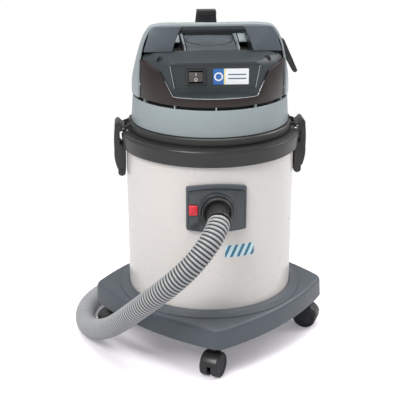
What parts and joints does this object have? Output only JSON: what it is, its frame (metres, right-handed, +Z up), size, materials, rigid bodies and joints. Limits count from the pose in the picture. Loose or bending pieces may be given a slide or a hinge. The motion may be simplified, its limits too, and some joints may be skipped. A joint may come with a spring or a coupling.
{
  "type": "shop vacuum",
  "caption": "Wet and dry shop vacuum: round drum on a castor trolley, latched motor head with a carrying handle, and a ribbed suction hose from the front inlet.",
  "frame": {"origin": "on the floor under the drum's axis", "axes": "+Z up along the drum, -Y to the front where the hose inlet is, +X to the right seen from the front"},
  "size_m": [0.5787, 1.2149, 0.6903],
  "materials": {
    "slate_plastic": "fine-grained moulded polypropylene",
    "drum_white": "smooth painted warm white",
    "black_plastic": "satin moulded plastic",
    "charcoal_plastic": "satin moulded plastic",
    "seal_rubber": "soft black rubber",
    "spring_steel": "drawn wire",
    "hose_grey": "ribbed soft plastic",
    "zinc_steel": "zinc plated",
    "dark_screw": "blackened",
    "band_grey": "satin light grey",
    "shell_grey": "satin light grey",
    "label_film": "printed film with plain bands",
    "motor_metal": "pressed sheet",
    "foam_grey": "open-cell foam",
    "filter_paper": "pleated paper",
    "button_red": "glossy red",
    "rocker_grey": "satin dark grey with light marks",
    "copper_winding": "varnished wire",
    "float_white": "hollow ball",
    "castor_plastic": "satin black nylon",
    "wheel_rubber": "dark grey tread"
  },
  "bodies": {
    "trolley": {"base_trolley": "slate_plastic", "castor_stems": "zinc_steel", "tank": "drum_white", "tank_screws": "zinc_steel", "tank_collar": "black_plastic", "inlet_housing": "charcoal_plastic", "inlet_gasket": "seal_rubber", "inlet_socket": "black_plastic", "button_spring": "spring_steel", "inlet_screws": "zinc_steel", "inlet_deflector": "black_plastic", "hose_connector": "black_plastic", "hose": "hose_grey", "hose_tool_cuff": "black_plastic"},
    "castor_front": {"castor_front_housing": "castor_plastic", "castor_front_axle": "zinc_steel"},
    "wheel_front_a": {"castor_front_wheel_a": "wheel_rubber"},
    "wheel_front_b": {"castor_front_wheel_b": "wheel_rubber"},
    "castor_right": {"castor_right_housing": "castor_plastic", "castor_right_axle": "zinc_steel"},
    "wheel_right_a": {"castor_right_wheel_a": "wheel_rubber"},
    "wheel_right_b": {"castor_right_wheel_b": "wheel_rubber"},
    "castor_back": {"castor_back_housing": "castor_plastic", "castor_back_axle": "zinc_steel"},
    "wheel_back_a": {"castor_back_wheel_a": "wheel_rubber"},
    "wheel_back_b": {"castor_back_wheel_b": "wheel_rubber"},
    "castor_left": {"castor_left_housing": "castor_plastic", "castor_left_axle": "zinc_steel"},
    "wheel_left_a": {"castor_left_wheel_a": "wheel_rubber"},
    "wheel_left_b": {"castor_left_wheel_b": "wheel_rubber"},
    "head": {"head_base": "black_plastic", "head_screws": "zinc_steel", "head_seal": "seal_rubber", "head_band": "band_grey", "cable_gland": "seal_rubber", "head_shell": "shell_grey", "hand_tray": "charcoal_plastic", "carry_handle": "slate_plastic", "front_cover": "charcoal_plastic", "cover_screws": "dark_screw", "switch_bezel": "black_plastic", "label_plate": "label_film", "rear_hook": "slate_plastic", "side_hook": "charcoal_plastic", "motor_fan_case": "motor_metal", "motor_housing": "black_plastic", "motor_stator": "zinc_steel", "silencer_foam": "foam_grey", "filter_cartridge": "filter_paper", "float_cage": "black_plastic", "latch_pins": "zinc_steel"},
    "latch_left": {"latch_left": "black_plastic"},
    "latch_right": {"latch_right": "black_plastic"},
    "inlet_button": {"inlet_button": "button_red"},
    "rocker": {"switch_rocker": "rocker_grey"},
    "rotor": {"motor_shaft": "zinc_steel", "motor_armature": "copper_winding", "motor_impeller": "motor_metal", "cooling_fan": "black_plastic"},
    "float": {"float_ball": "float_white"}
  },
  "joints": [
    {"name": "castor_front_swivel", "type": "hinge", "parent": "trolley", "child": "castor_front", "pos_m": [0, -0.202, 0.05], "axis": [0, 0, 1], "continuous": true},
    {"name": "wheel_front_a_spin", "type": "hinge", "parent": "castor_front", "child": "wheel_front_a", "pos_m": [-0.00869, -0.21834, 0.025], "axis": [0.8829, -0.4695, 0], "continuous": true},
    {"name": "wheel_front_b_spin", "type": "hinge", "parent": "castor_front", "child": "wheel_front_b", "pos_m": [-0.00869, -0.21834, 0.025], "axis": [0.8829, -0.4695, 0], "continuous": true},
    {"name": "castor_right_swivel", "type": "hinge", "parent": "trolley", "child": "castor_right", "pos_m": [0.202, 0, 0.05], "axis": [0, 0, 1], "continuous": true},
    {"name": "wheel_right_a_spin", "type": "hinge", "parent": "castor_right", "child": "wheel_right_a", "pos_m": [0.21903, -0.00723, 0.025], "axis": [0.3907, 0.9205, 0], "continuous": true},
    {"name": "wheel_right_b_spin", "type": "hinge", "parent": "castor_right", "child": "wheel_right_b", "pos_m": [0.21903, -0.00723, 0.025], "axis": [0.3907, 0.9205, 0], "continuous": true},
    {"name": "castor_back_swivel", "type": "hinge", "parent": "trolley", "child": "castor_back", "pos_m": [0, 0.202, 0.05], "axis": [0, 0, 1], "continuous": true},
    {"name": "wheel_back_a_spin", "type": "hinge", "parent": "castor_back", "child": "wheel_back_a", "pos_m": [-0.00448, 0.21995, 0.025], "axis": [-0.9703, -0.2419, 0], "continuous": true},
    {"name": "wheel_back_b_spin", "type": "hinge", "parent": "castor_back", "child": "wheel_back_b", "pos_m": [-0.00448, 0.21995, 0.025], "axis": [-0.9703, -0.2419, 0], "continuous": true},
    {"name": "castor_left_swivel", "type": "hinge", "parent": "trolley", "child": "castor_left", "pos_m": [-0.202, 0, 0.05], "axis": [0, 0, 1], "continuous": true},
    {"name": "wheel_left_a_spin", "type": "hinge", "parent": "castor_left", "child": "wheel_left_a", "pos_m": [-0.21969, -0.00541, 0.025], "axis": [0.2924, -0.9563, 0], "continuous": true},
    {"name": "wheel_left_b_spin", "type": "hinge", "parent": "castor_left", "child": "wheel_left_b", "pos_m": [-0.21969, -0.00541, 0.025], "axis": [0.2924, -0.9563, 0], "continuous": true},
    {"name": "head_lift", "type": "slide", "parent": "trolley", "child": "head", "axis": [0, 0, 1], "range_m": [0, 0.25]},
    {"name": "latch_left_swing", "type": "hinge", "parent": "head", "child": "latch_left", "pos_m": [-0.18, 0, 0.4695], "axis": [0, 1, 0], "range_deg": [0, 65]},
    {"name": "latch_right_swing", "type": "hinge", "parent": "head", "child": "latch_right", "pos_m": [0.18, 0, 0.4695], "axis": [0, -1, 0], "range_deg": [0, 65]},
    {"name": "inlet_button_press", "type": "slide", "parent": "trolley", "child": "inlet_button", "axis": [0, 1, 0], "range_m": [0, 0.003], "stiffness_N_per_m": 400, "springref_m": -0.001, "deforming": ["button_spring"]},
    {"name": "switch_rock", "type": "hinge", "parent": "head", "child": "rocker", "pos_m": [-0.037, -0.119, 0.597], "axis": [1, 0, 0], "range_deg": [0, 16]},
    {"name": "motor_spin", "type": "hinge", "parent": "head", "child": "rotor", "pos_m": [0, 0, 0.52], "axis": [0, 0, 1], "continuous": true},
    {"name": "float_rise", "type": "slide", "parent": "head", "child": "float", "axis": [0, 0, 1], "range_m": [0, 0.029]}
  ]
}
